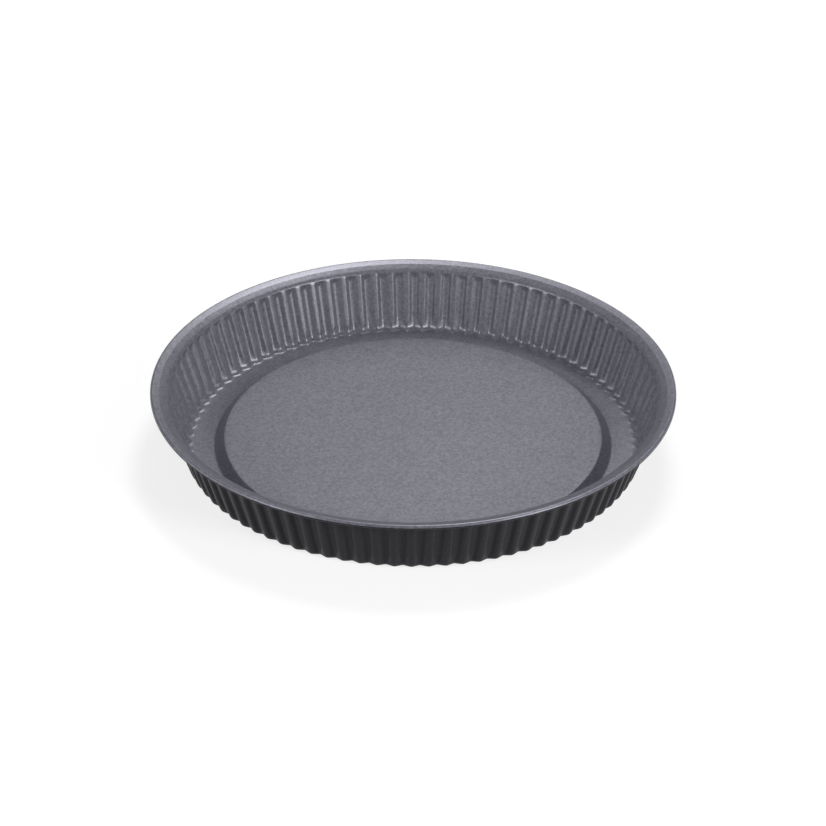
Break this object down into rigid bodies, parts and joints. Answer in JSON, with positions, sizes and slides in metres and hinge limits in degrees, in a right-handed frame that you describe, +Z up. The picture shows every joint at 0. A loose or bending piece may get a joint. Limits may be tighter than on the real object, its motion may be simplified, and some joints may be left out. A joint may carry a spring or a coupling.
{
  "type": "shallow round baking pan",
  "caption": "Shallow round flan pan of coated steel with a raised flat centre, a fluted sloping wall and a narrow flat rim with a rolled edge; holds batter or pastry for baking.",
  "frame": {"origin": "centre of the pan on the plane that it stands on", "axes": "+Z up along the pan's centre line; a flute is centred on +X and the ends of the rim wire meet on +Y"},
  "size_m": [0.285, 0.285, 0.0377],
  "materials": {
    "coated_steel": "satin dark grey non-stick coating",
    "bare_steel": "bare drawn wire"
  },
  "bodies": {
    "root": {"pan_shell": "coated_steel", "rim_wire": "bare_steel"}
  },
  "joints": []
}
